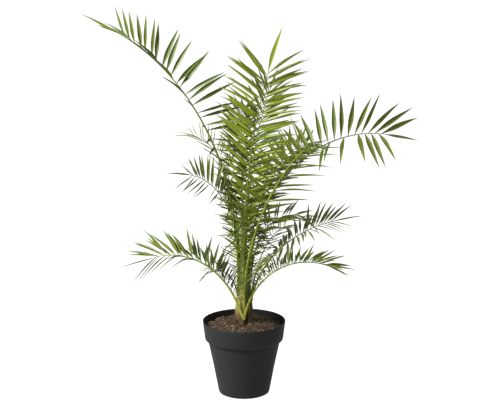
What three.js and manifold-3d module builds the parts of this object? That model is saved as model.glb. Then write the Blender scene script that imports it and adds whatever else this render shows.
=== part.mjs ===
// A young date palm in a dark plastic nursery pot. Millimetres, +Z up.
// The origin is the middle of the pot's flat underside, and the plant's best side looks to -Y.
// Headings are degrees in plan: 0 points along +X and 90 along +Y.

import * as THREE from 'three';
import { mergeVertices } from 'three/addons/utils/BufferGeometryUtils.js';
import Module from 'manifold-3d';

const wasm = await Module();
wasm.setup();

// Room left between two pieces that touch on the real plant
const CLEARANCE = 0.3;

const POT = {
  height: 218,
  rimRadius: 120,
  collarRadius: 113.5,   // outer radius at the foot of the collar
  collarHeight: 54,
  shoulderRadius: 101.5, // outer radius where the body starts, under the collar's slope
  shoulderHeight: 17,
  footRadius: 75,
  cornerRadius: 11,      // round edge between the wall and the underside
  cornerSteps: 3,
  wall: 2.4,
  floor: 3.2,
  segments: 48,
};

const SOIL = {
  wallHeight: 195,       // top of the soil where it meets the pot
  seatHeight: 211,       // top of the mound, where the stem stands
  seatRadius: 33,
  slopeSteps: 3,
};

const STEM = {
  footRadius: 30,
  waistRadius: 24.5,
  topRadius: 20,
  top: 305,
  segments: 18,
};

const RIB = {
  footRadius: 4.1,       // a frond's midrib, half across its three-sided section
  tipRadius: 1.2,
  sides: 3,
  steps: 14,             // straight lengths that make up a whole midrib
};

const LEAFLET = {
  width: 17,
  thickness: 2.2,
  widest: 0.38,          // share of the length where a leaflet is widest
  footLength: 0.42,      // length at the frond's foot, as a share of the longest
  tipLength: 0.8,        // length at the frond's tip, likewise
  lastLength: 0.72,      // length of the leaflet that closes the frond, likewise
  longestAt: 0.42,
  opening: [62, 35],     // degrees between leaflet and midrib at the frond's foot and tip
  closing: 3,            // above 1 the leaflets close up near the tip only
  end: 0.985,            // share of the midrib where the leaflets of the sides end
  lastAngle: 4,          // degrees between the last leaflet and the midrib's end
  lastSunk: 8,           // how far the last leaflet's root is sunk in the midrib's end
  hang: 0.0025,          // the slope at which a level leaflet hangs, for each millimetre of its length
  droop: 0.05,           // how far a leaflet's tip bends down, as a share of its length
  twist: [18, 18],       // degrees that a blade is turned about its own length, on either side
  kept: [1, 1],          // share of the leaflets that each side has
  golden: 0.618,         // spreads the leaflets that a thin side lacks evenly along it
  waver: 5,              // degrees of irregularity in how leaflets point
};

// Other ways a leaflet may point where its first place is taken: degrees towards the tip,
// degrees up, and the share of its length that is kept
const SECOND_TRIES = [
  [0, 0, 1], [12, 14, 1], [-10, -14, 1], [16, -20, 0.85], [-8, 26, 0.8], [20, 34, 0.7], [6, -34, 0.62], [0, 0, 0.5],
];

const GREEN = { young: 0x9dc03c, full: 0x6f9138, old: 0x48662e };

// foot: heading, radius and height where the midrib leaves the stem. heading and sweep: where the
// frond points in plan and how far that turns towards the tip. lean: degrees from upright at foot
// and tip. bend: above 1 the bend is near the tip. roll: degrees that the blade is turned about the
// midrib at foot and tip. vee: degrees that the leaflets rise out of the blade's plane, on the right
// and left side; tipVee: likewise at the tip, where it differs. skew: degrees that the right leaflets
// open further than the left. bare: share of the length with no leaflets. pairs: leaflets on each side.
// split: the step where a far-bent frond is in two. The rest stand in for the values in LEAFLET.
const FRONDS = [
  { name: 'frond_upper_left', foot: [206, 15, 301], heading: 196, sweep: -46, lean: [1, 67.4], bend: 1.6,
    length: 884, roll: [-50, 3], vee: [47, 29], tipVee: [83, 41], leaflet: 154, pairs: 19, bare: 0.2,
    opening: [100, 20], skew: 15, closing: 2, tipLength: 0.58, lastLength: 0.95, twist: [5, -15],
    kept: [1, 0.5], split: 9, green: GREEN.full },
  { name: 'frond_centre_front', foot: [266, 15, 301], heading: 272, sweep: 48, lean: [3, 20], bend: 1.0,
    length: 684, roll: [-26, -32], vee: [18, -30], tipVee: [26, 3], leaflet: 130, pairs: 19, bare: 0.24,
    opening: [60, 38], skew: 6, closing: 6, footLength: 0.16, longestAt: 0.8, tipLength: 1.05, lastLength: 1.05,
    green: GREEN.young },
  { name: 'frond_centre_back', foot: [45, 4, 301], heading: 60, sweep: -10, lean: [1, 30], bend: 1.7,
    length: 600, roll: [20, 20], vee: [20, 35], leaflet: 112, pairs: 15, bare: 0.3, green: GREEN.full },
  { name: 'frond_right_front', foot: [272, 25, 236], heading: 339, sweep: -51, lean: [-3, 63.5], bend: 1.1,
    length: 652, roll: [-2, -21], vee: [-25, -14], tipVee: [44, 45], leaflet: 146, pairs: 15, bare: 0.22,
    opening: [65, 62], skew: -9, closing: 2.4, twist: [20, 30], kept: [1, 0.6], green: GREEN.full },
  { name: 'frond_right_arch', foot: [6, 15, 301], heading: -5, sweep: 18, lean: [0, 101], bend: 1.43,
    length: 697, roll: [10, 56], vee: [103, -13], tipVee: [43, 16], leaflet: 148, pairs: 18, bare: 0.24,
    opening: [96, 57], skew: 19, closing: 5.8, tipLength: 0.96, longestAt: 0.25, twist: [18, -8],
    kept: [0.75, 1], split: 8, green: GREEN.full },
  { name: 'frond_mid_left', foot: [168, 15, 301], heading: 200, sweep: 17, lean: [0, 76], bend: 2.15,
    length: 431, roll: [3, -73], vee: [-46, 104], tipVee: [46, -2], leaflet: 80, pairs: 14, bare: 0.22,
    opening: [77, 28], closing: 3.7, longestAt: 0.8, lastLength: 1.0, twist: [-35, 50], kept: [1, 0.5],
    green: GREEN.full },
  { name: 'frond_low_left', foot: [246, 25.5, 234], heading: 198, sweep: -3, lean: [16.5, 105], bend: 1.44,
    length: 356, roll: [1, -37], vee: [39, 107], tipVee: [-1, 14], leaflet: 118, pairs: 13, bare: 0.2,
    opening: [70, 48], skew: 12, closing: 3.3, lastLength: 0.9, twist: [-42, -60], kept: [1, 0.4],
    split: 7, green: GREEN.full },
  { name: 'frond_low_right', foot: [297, 25.5, 234], heading: 347.5, sweep: -11, lean: [5.4, 108], bend: 1.05,
    length: 347, roll: [9, 25], vee: [48, 32], tipVee: [76, 4], leaflet: 81, pairs: 12, bare: 0.22,
    opening: [87, 22], skew: -10, closing: 5.1, longestAt: 0.78, lastLength: 0.85, twist: [-60, -25],
    kept: [0.5, 1], split: 7, green: GREEN.full },
  { name: 'frond_mid_right', foot: [323, 24, 244], heading: -2.5, sweep: 20, lean: [-3.6, 82], bend: 0.85,
    length: 391, roll: [44, 31], vee: [100, -82], tipVee: [41, 16], leaflet: 150, pairs: 14, bare: 0.22,
    opening: [91, 43], skew: 11, closing: 3.8, footLength: 0.2, tipLength: 0.66, longestAt: 0.5,
    twist: [-45, -35], kept: [0.6, 1], green: GREEN.full },
  { name: 'frond_back_right_low', foot: [38, 15, 301], heading: 38, sweep: -38, lean: [8, 130], bend: 2.5,
    length: 328, roll: [10, 20], vee: [25, 25], leaflet: 78, pairs: 11, bare: 0.2, split: 9,
    green: GREEN.old },
  { name: 'frond_back_right_high', foot: [70, 15, 301], heading: 56, sweep: -17, lean: [9, 90], bend: 2.2,
    length: 528, roll: [10, 25], vee: [22, 22], leaflet: 100, pairs: 14, bare: 0.22, green: GREEN.old },
  { name: 'frond_back_left_high', foot: [133, 15, 301], heading: 136, sweep: 4, lean: [2, 95], bend: 3.0,
    length: 530, roll: [-10, -25], vee: [22, 45], leaflet: 90, pairs: 14, bare: 0.22, green: GREEN.old },
  { name: 'frond_back_mid', foot: [101, 15, 301], heading: 95, sweep: -6, lean: [1, 70], bend: 1.5,
    length: 600, roll: [0, 0], vee: [30, 40], leaflet: 104, pairs: 15, bare: 0.24, green: GREEN.full },
  { name: 'frond_low_left_back', foot: [160, 19, 262], heading: 150, sweep: 20, lean: [0, 140], bend: 1.7,
    length: 172, roll: [-20, -30], vee: [26, 26], leaflet: 56, pairs: 8, bare: 0.4, green: GREEN.old },
  { name: 'frond_low_back', foot: [92, 23, 250], heading: 92, sweep: 6, lean: [14, 108], bend: 1.2,
    length: 390, roll: [0, 0], vee: [34, 34], leaflet: 84, pairs: 12, bare: 0.22, split: 7,
    green: GREEN.full },
  { name: 'frond_low_right_back', foot: [40, 23, 256], heading: 52, sweep: 6, lean: [10, 96], bend: 1.5,
    length: 310, roll: [14, 14], vee: [32, 32], leaflet: 66, pairs: 9, bare: 0.38, green: GREEN.old },
];

const PLANT_SEED = 41;

function seeded(seed) {
  let state = seed;
  return () => {
    state = (state + 0x6d2b79f5) | 0;
    let mixed = Math.imul(state ^ (state >>> 15), 1 | state);
    mixed = (mixed + Math.imul(mixed ^ (mixed >>> 7), 61 | mixed)) ^ mixed;
    return ((mixed ^ (mixed >>> 14)) >>> 0) / 4294967296;
  };
}

function mergedPositions(geometry) {
  const bare = geometry.clone();
  bare.deleteAttribute('normal');
  bare.deleteAttribute('uv');
  return mergeVertices(bare);
}

function toSolid(geometry) {
  const merged = mergedPositions(geometry);
  const corners = [];
  for (let i = 0; i < merged.index.count; i += 3) {
    const [a, b, c] = [0, 1, 2].map((k) => merged.index.getX(i + k));
    if (a !== b && b !== c && c !== a) corners.push(a, b, c);
  }
  return new wasm.Manifold(new wasm.Mesh({
    numProp: 3,
    vertProperties: new Float32Array(merged.attributes.position.array),
    triVerts: new Uint32Array(corners),
  }));
}

function toGeometry(solid) {
  const mesh = solid.getMesh();
  const geometry = new THREE.BufferGeometry();
  geometry.setAttribute('position', new THREE.BufferAttribute(new Float32Array(mesh.vertProperties), 3));
  geometry.setIndex(new THREE.BufferAttribute(new Uint32Array(mesh.triVerts), 1));
  geometry.computeVertexNormals();
  return geometry;
}

// A profile of [radius, height] points turned about the Z axis
function turned(profile, segments) {
  const points = profile.map(([radius, height]) => new THREE.Vector2(radius, height));
  return new THREE.LatheGeometry(points, segments).rotateX(Math.PI / 2);
}

function material(name, color, roughness) {
  return new THREE.MeshStandardMaterial({ name, color, roughness, metalness: 0 });
}

// Pot

function potInside(inset) {
  const inner = POT.wall + inset;
  const slopeTop = POT.height - POT.collarHeight;
  return [
    [0, POT.floor + inset],
    [POT.footRadius - inner, POT.floor + inset],
    [POT.shoulderRadius - inner, slopeTop - POT.shoulderHeight],
    [POT.collarRadius - inner, slopeTop],
    [POT.rimRadius - inner, POT.height],
  ];
}

function potOutside() {
  const slopeTop = POT.height - POT.collarHeight;
  const corner = [];
  for (let step = 0; step <= POT.cornerSteps; step += 1) {
    const angle = (step / POT.cornerSteps) * (Math.PI / 2);
    corner.push([
      POT.footRadius - POT.cornerRadius * (1 - Math.sin(angle)),
      POT.cornerRadius * (1 - Math.cos(angle)),
    ]);
  }
  return [
    [0, 0],
    ...corner,
    [POT.shoulderRadius, slopeTop - POT.shoulderHeight],
    [POT.collarRadius, slopeTop],
    [POT.rimRadius, POT.height],
  ];
}

function potGeometry() {
  return turned([...potOutside(), ...potInside(0).reverse()], POT.segments);
}

// Soil: fills the pot to below its rim and rises in a low mound to the stem

function soilGeometry() {
  const walls = potInside(CLEARANCE);
  const [collarFoot, rim] = walls.slice(-2);
  const share = (SOIL.wallHeight - collarFoot[1]) / (rim[1] - collarFoot[1]);
  const edge = [THREE.MathUtils.lerp(collarFoot[0], rim[0], share), SOIL.wallHeight];
  const slope = [];
  for (let step = 1; step <= SOIL.slopeSteps; step += 1) {
    const inward = step / SOIL.slopeSteps;
    slope.push([
      THREE.MathUtils.lerp(edge[0], SOIL.seatRadius, inward),
      THREE.MathUtils.lerp(SOIL.wallHeight, SOIL.seatHeight, Math.sin((inward * Math.PI) / 2)),
    ]);
  }
  return turned([...walls.slice(0, -1), edge, ...slope, [0, SOIL.seatHeight]], POT.segments);
}

// Stem: the short bundle of old leaf bases, flared where it stands on the soil

function stemProfile(grown) {
  const foot = SOIL.seatHeight + CLEARANCE;
  const height = STEM.top - foot;
  return [
    [0, foot - grown],
    [STEM.footRadius + grown, foot - grown],
    [STEM.footRadius - 2 + grown, foot + height * 0.12],
    [STEM.waistRadius + grown, foot + height * 0.4],
    [STEM.topRadius + 1 + grown, foot + height * 0.8],
    [STEM.topRadius + grown, STEM.top + grown],
    [0, STEM.top + grown],
  ];
}

// Fronds

const { degToRad, lerp } = THREE.MathUtils;

// The midrib's path, with its own three directions anywhere on it
class Midrib {
  constructor(frond) {
    this.frond = frond;
    const [around, radius, height] = frond.foot;
    const angle = degToRad(around);
    const place = new THREE.Vector3(radius * Math.cos(angle), radius * Math.sin(angle), height);
    this.points = [place.clone()];
    for (let i = 0; i < RIB.steps; i += 1) {
      const { along } = this.directions((i + 0.5) / RIB.steps);
      place.addScaledVector(along, frond.length / RIB.steps);
      this.points.push(place.clone());
    }
  }

  directions(share) {
    const { heading, sweep, lean, bend, roll } = this.frond;
    const plan = degToRad(heading + sweep * share);
    const tilt = degToRad(lerp(lean[0], lean[1], share ** bend));
    const outward = new THREE.Vector3(Math.cos(plan), Math.sin(plan), 0);
    const along = outward.clone().multiplyScalar(Math.sin(tilt));
    along.z = Math.cos(tilt);
    const face = outward.clone().multiplyScalar(-Math.cos(tilt));
    face.z = Math.sin(tilt);
    face.applyAxisAngle(along, degToRad(lerp(roll[0], roll[1], share)));
    return { along, face, side: along.clone().cross(face) };
  }

  at(share) {
    const place = Math.min(share, 1) * RIB.steps;
    const index = Math.min(Math.floor(place), RIB.steps - 1);
    return this.points[index].clone().lerp(this.points[index + 1], place - index);
  }

  radius(share) {
    return lerp(RIB.footRadius, RIB.tipRadius, share);
  }
}

// A three-sided bar bent along the midrib between two shares of its length
function ribSolid(midrib, from, to) {
  const steps = Math.round(RIB.steps * (to - from));
  const bar = mergedPositions(new THREE.CylinderGeometry(1, 1, 1, RIB.sides, steps));
  const position = bar.attributes.position;
  for (let i = 0; i < position.count; i += 1) {
    const share = lerp(from, to, position.getY(i) + 0.5);
    const { face, side } = midrib.directions(share);
    const radius = midrib.radius(share);
    const corner = midrib.at(share)
      .addScaledVector(side, position.getX(i) * radius)
      .addScaledVector(face, position.getZ(i) * radius);
    position.setXYZ(i, corner.x, corner.y, corner.z);
  }
  return toSolid(bar);
}

// One pointed blade: eight faces, widest a third of the way out, its tip hanging a little
function leafletSolid({ root, direction, across, length, width, thickness }) {
  const normal = direction.clone().cross(across);
  const blade = mergedPositions(new THREE.OctahedronGeometry(1));
  const position = blade.attributes.position;
  for (let i = 0; i < position.count; i += 1) {
    const end = position.getX(i);
    const reach = Math.abs(end) < 0.5 ? LEAFLET.widest : (end + 1) / 2;
    const corner = root.clone()
      .addScaledVector(direction, reach * length)
      .addScaledVector(across, (position.getY(i) * width) / 2)
      .addScaledVector(normal, (position.getZ(i) * thickness) / 2);
    corner.z -= LEAFLET.droop * length * reach ** 2;
    position.setXYZ(i, corner.x, corner.y, corner.z);
  }
  return toSolid(blade);
}

// A leaflet's length as a share of the frond's longest
function lengthShare({ footLength, longestAt, tipLength }, share) {
  if (share < longestAt) return lerp(footLength, 1, Math.sin((share / longestAt) * (Math.PI / 2)));
  return lerp(1, tipLength, ((share - longestAt) / (1 - longestAt)) ** 2);
}

// Where one leaflet stands: hand is 1 for the right side of the midrib and -1 for the left
function leafletPlace(midrib, share, hand, waver, [forward, lift, kept]) {
  const frond = { ...LEAFLET, skew: 0, tipVee: midrib.frond.vee, ...midrib.frond };
  const { along, face, side } = midrib.directions(share);
  const row = hand > 0 ? 0 : 1;
  const closed = lerp(frond.opening[0], frond.opening[1], share ** frond.closing) + frond.skew * hand;
  const opening = degToRad(closed + waver - forward);
  const rise = degToRad(lerp(frond.vee[row], frond.tipVee[row], share) + lift + waver);
  const outward = side.clone().multiplyScalar(hand * Math.cos(rise)).addScaledVector(face, Math.sin(rise));
  const direction = along.clone().multiplyScalar(Math.cos(opening)).addScaledVector(outward, Math.sin(opening));
  const length = frond.leaflet * lengthShare(frond, share) * kept;
  direction.z -= frond.hang * length * Math.hypot(direction.x, direction.y);
  direction.normalize();
  const across = along.clone().addScaledVector(direction, -along.dot(direction)).normalize();
  across.applyAxisAngle(direction, degToRad(hand * frond.twist[row]));
  return {
    root: midrib.at(share).addScaledVector(direction, -midrib.radius(share) / 2),
    direction,
    across,
    length,
    width: frond.width * Math.min(1, 0.45 + frond.leaflet / 180) * kept,
    thickness: frond.thickness,
  };
}

// The blade that closes the frond, nearly straight on from the midrib and in the frond's own plane
function lastPlace(midrib) {
  const { along, face, side } = midrib.directions(1);
  const aside = degToRad(LEAFLET.lastAngle);
  const { frond } = midrib;
  return {
    ...leafletPlace(midrib, 1, 1, 0, SECOND_TRIES[0]),
    root: midrib.at(1 - LEAFLET.lastSunk / frond.length),
    direction: along.applyAxisAngle(face, aside),
    across: side.applyAxisAngle(face, aside),
    length: frond.leaflet * (frond.lastLength ?? LEAFLET.lastLength),
  };
}

function grown(place) {
  const longer = { ...place };
  longer.length += 2 * CLEARANCE;
  longer.width += 2 * CLEARANCE;
  longer.thickness += 2 * CLEARANCE;
  return longer;
}

function boxOf(solid) {
  const { min, max } = solid.boundingBox();
  return new THREE.Box3(new THREE.Vector3(...min), new THREE.Vector3(...max));
}

const stemRoom = toSolid(turned(stemProfile(CLEARANCE), STEM.segments));

// One entry for each node: its midrib, the stretch it covers, and the solids it is fused from
const pieces = [];
for (const frond of FRONDS) {
  const midrib = new Midrib(frond);
  const halfGap = CLEARANCE / 2 / frond.length;
  const stretches = frond.split
    ? [['_lower', 0, frond.split / RIB.steps - halfGap], ['_upper', frond.split / RIB.steps + halfGap, 1]]
    : [['', 0, 1]];
  for (const [suffix, from, to] of stretches) {
    const rib = ribSolid(midrib, from, to).subtract(stemRoom);
    pieces.push({ name: frond.name + suffix, frond, midrib, from, to, solids: [rib], boxes: [boxOf(rib)] });
  }
}

function isFree(solid, own) {
  const box = boxOf(solid);
  for (const piece of pieces) {
    if (piece === own) continue;
    for (let i = 0; i < piece.solids.length; i += 1) {
      if (box.intersectsBox(piece.boxes[i]) && !solid.intersect(piece.solids[i]).isEmpty()) return false;
    }
  }
  return solid.intersect(stemRoom).isEmpty();
}

function addLeaflet(piece, places) {
  const free = places.find((place) => isFree(leafletSolid(grown(place)), piece));
  if (!free) return;
  const solid = leafletSolid(free);
  piece.solids.push(solid);
  piece.boxes.push(boxOf(solid));
}

const random = seeded(PLANT_SEED);
for (const piece of pieces) {
  const { frond, midrib } = piece;
  const kept = frond.kept ?? LEAFLET.kept;
  for (let pair = 0; pair < frond.pairs; pair += 1) {
    for (const hand of [1, -1]) {
      if ((pair * LEAFLET.golden) % 1 >= kept[hand > 0 ? 0 : 1]) continue;
      const stagger = hand > 0 ? 0.25 : 0.75;
      const share = lerp(frond.bare, LEAFLET.end, (pair + stagger) / frond.pairs);
      const waver = (random() - 0.5) * 2 * LEAFLET.waver;
      if (share < piece.from || share > piece.to) continue;
      addLeaflet(piece, SECOND_TRIES.map((tryOut) => leafletPlace(midrib, share, hand, waver, tryOut)));
    }
  }
  if (piece.to === 1) addLeaflet(piece, [lastPlace(midrib)]);
}

// The largest body of a fused frond, with any hollow in it filled and any scrap left out
function largestBody(solid) {
  return solid.decompose().sort((a, b) => b.volume() - a.volume())[0];
}

const palm = new THREE.Group();

function addPiece(name, geometry, finish) {
  const mesh = new THREE.Mesh(geometry, finish);
  mesh.name = name;
  palm.add(mesh);
}

addPiece('pot', potGeometry(), material('plastic', 0x3a3b3c, 0.55));
addPiece('soil', soilGeometry(), material('soil', 0x4a382a, 1));
addPiece('stem', turned(stemProfile(0), STEM.segments), material('leaf bases', 0x7d6a35, 0.85));
for (const piece of pieces) {
  const fused = piece.solids.reduce((joined, solid) => joined.add(solid));
  addPiece(piece.name, toGeometry(largestBody(fused)), material('leaf', piece.frond.green, 0.5));
}

export default palm;
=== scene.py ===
import math

import bpy
import numpy as np
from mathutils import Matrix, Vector, noise


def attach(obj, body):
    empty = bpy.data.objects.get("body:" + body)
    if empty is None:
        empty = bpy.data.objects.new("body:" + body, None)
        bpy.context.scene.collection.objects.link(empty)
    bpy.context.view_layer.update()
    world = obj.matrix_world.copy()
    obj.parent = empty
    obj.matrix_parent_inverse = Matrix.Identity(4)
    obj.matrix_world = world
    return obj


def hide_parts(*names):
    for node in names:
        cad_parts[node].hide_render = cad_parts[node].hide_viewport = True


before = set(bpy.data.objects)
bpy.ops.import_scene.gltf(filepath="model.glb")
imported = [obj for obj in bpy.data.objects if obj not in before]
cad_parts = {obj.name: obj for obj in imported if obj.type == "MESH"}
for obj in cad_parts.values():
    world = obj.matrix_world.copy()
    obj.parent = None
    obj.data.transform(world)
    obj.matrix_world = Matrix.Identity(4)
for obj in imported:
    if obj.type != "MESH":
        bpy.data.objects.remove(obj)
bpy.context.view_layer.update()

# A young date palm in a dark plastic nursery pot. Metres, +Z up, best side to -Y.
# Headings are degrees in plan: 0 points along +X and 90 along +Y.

MM = 0.001
UP = np.array([0.0, 0.0, 1.0])
BODY = "root"

POT_HEIGHT = 0.218
POT_RIM = 0.120
POT_COLLAR = 0.1135        # outer radius at the foot of the collar
POT_COLLAR_FOOT = POT_HEIGHT - 0.054
POT_SHOULDER = 0.1033      # outer radius where the body starts, under the collar's slope
POT_SHOULDER_TOP = POT_COLLAR_FOOT - 0.0095
POT_FOOT = 0.075
POT_CORNER = 0.011
POT_WALL = 0.0024
POT_FLOOR = 0.0032
POT_SIDES = 128
ARC_STEPS = 6
EASED_STEPS = 4

SOIL_WALL_HEIGHT = 0.195   # top of the soil where it meets the pot
SOIL_SEAT_HEIGHT = 0.216   # top of the mound, where the stem stands
SOIL_SEAT_RADIUS = 0.033

# Height and radius of the stem's core, from its foot to its top
STEM_PROFILE = [(0.2115, 0.0270), (0.2225, 0.0260), (0.249, 0.0225), (0.286, 0.0200), (0.330, 0.0185),
                (0.400, 0.0165), (0.424, 0.0110)]
STEM_GAP = 0.78            # its foot's width against that: a dark gap shows between old leaf bases
STEM_GAP_END = (0.226, 0.246)   # heights between which that gap closes
STEM_RIDGES = (0.95, 0.09)      # its middle size and the height of its ridges, against that radius
RIDGES_AROUND = 5
RIDGE_LENGTH = 0.05

BASE_FOOT = 0.226          # the green leaf bases start here
BASE_TOP = 0.405           # where they end, or LOW_BASE_TOP for a frond from lower down
LOW_BASE_TOP = 0.312
BASE_HALF_WIDTH = 0.0130
BASE_TIP_HALF_WIDTH = 0.0045
BASE_HALF_DEPTHS = (0.0035, 0.0040)
BASE_INSET = 0.006         # how far a base's top lies inside the core's skin
BASE_JOINING = (0.27, 0.35)     # between these heights it bends over to its own stalk
CROWN_HEIGHT = 0.3         # fronds from here up have a base, and so has mid_right

# The leaflet rule's sizes, which every frond shares
LEAFLET_WIDEST = 0.38      # share of a leaflet's length where it is widest
LEAFLET_FOOT_WIDTH = 0.36  # the first leaflets are hardly broader than spines
LEAFLET_SUNK = 0.001       # how far a leaflet's root reaches back into the midrib
LEAFLET_WAVER = 5          # degrees that a leaflet may stray from the rule
LEAFLET_DROOP = 0.05       # how far its tip hangs below its line, against its length
LEAFLET_HANG = 2.5         # the slope at which a level leaflet hangs, for each metre of its length
LAST_LEAFLET = 0.985       # share of the midrib where the leaflets end
GOLDEN = 0.618             # spreads the leaflets that a thin side lacks evenly along it
STAGGER = (0.25, 0.75)     # leaflets stand in turn on the right and the left
CLOSING_PAIRS = 2          # the last pairs are always whole, and close the frond as a fan
LAST_ROOT = 0.008          # how far the closing leaflet's root lies back along the midrib
GATHER_END = 0.82          # share of the midrib from which no leaflet is gathered
GATHER_FADE = 0.35         # and how far below that they are gathered in full
BUNCH_PULL = 0.2           # how far a bunch draws its leaflets together, in spacings
BUNCH_OPENING = 5          # degrees that the outer leaflets of a bunch fan out along the midrib
BUNCH_RISE = 7             # and out of the blade's plane
SPINE_LENGTH = 0.030       # the lowest spine
LAST_SPINE_LENGTH = 0.42   # the highest one, against the frond's longest leaflet
SPINE_WIDTH = (0.0026, 0.0036)
SPINE_BOW = (0.2, 0.5)
SPINE_FAN = (-2, 2)
SPINE_STRETCH = (0.8, 1.15)
SHADE_SHARES = (0.38, 0.36, 0.26)   # how many leaflets get each of a tone's three greens

# How leaflets differ from one another: the least and the most, or the middle and the spread
LENGTH_RANGE = (0.93, 1.05)
WIDTH_RANGE = (0.85, 1.08)
BOW_RANGE = (0.02, 0.10)       # how far a blade arches up, against its length
RISE_SPREAD = (0, 4)           # degrees
TWIST_SPREAD = (0, 9)
CURL_SPREAD = (8, 16)          # degrees that a blade turns from its foot to its tip
SIDE_SWEEP_SPREAD = (0, 0.02)  # how far its tip strays to the side, against its length

# A blade's outline and section
BLADE_FOOT = 0.14              # its width at the root, against its greatest
BLADE_FOOT_CURVE = 1.4         # above 1, it stays narrow for longer
BLADE_TIP_CURVE = 1.5          # above 1, it stays broad for longer
BLADE_TIP_THINNING = 0.15      # and how much finer it still is at its tip
BLADE_EDGE = 0.00012           # added to half the width, so that a tip's faces aren't empty
FOLD_FOOT, FOLD_TIP = 42, 16   # degrees that each half of a blade rises from flat
KEEL_FOOT, KEEL_TIP = 0.0005, 0.0001   # half its thickness in the middle

MIDRIB_STEPS = 56
MIDRIB_SIDES = 10
MIDRIB_SUNK = 0.006        # how far the foot reaches back into the stem
MIDRIB_DEPTH = 0.8         # thickness against width
MIDRIB_FLAT_TOP = 0.6      # the upper face is flatter than the lower
RIB_FOOT = 0.0034          # half a rib's width at its foot, on a frond of RIB_FROND
RIB_FROND = 0.878
RIB_TIP = 0.0007
RIB_TAPER = 0.85
FLARE_REACH = 0.05         # how soon a stalk's flare is gone above its foot

# What a frond has unless it says otherwise. The two values of opening are for the midrib's foot and
# its tip, and those of the others for the frond's right side and its left.
USUAL = dict(
    parts=1,             # solids that the frond replaces
    tone="full",         # its greens unless stalk or leaf names others
    bare=0.22,           # share of the midrib before the leaflets
    flare=0.004,         # how much the stalk widens at its foot, for each metre of the frond
    foot_length=0.42,    # the first leaflets' length against the longest one's
    longest_at=0.42,     # share of the midrib where the longest ones stand
    tip_length=0.8,      # the last leaflets' length against the longest one's
    kept=(1, 1),         # share of the leaflets that grew
    bunching=1,          # how strongly they stand in twos and threes
    crowding=1,          # below 1, they stand closer towards the tip
    opening=(62, 35),    # degrees between leaflet and midrib
    closing=3,           # above 1, most of the change in that angle comes near the tip
    skew=0,              # degrees that the right side opens more and the left side less
    gather=(0, 0),       # degrees that the lower leaflets lean closer to the midrib
    twist=(18, 18),      # degrees that a leaflet is turned about its own line
    widening=0.3,        # share of the midrib over which leaflets reach their full width
    slender=1,           # above 1, they reach it later
    last=0.72,           # the closing leaflet's length against the longest one's
    last_width=1,        # its width against the rule's
    last_turn=0,         # degrees that it is turned about its own line
    spines=0.03,         # share of the midrib where the stalk's spines start
    spacing=0.017,       # from one spine to the next
    spine_stretch=1,     # their length against the rule's
)

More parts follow.
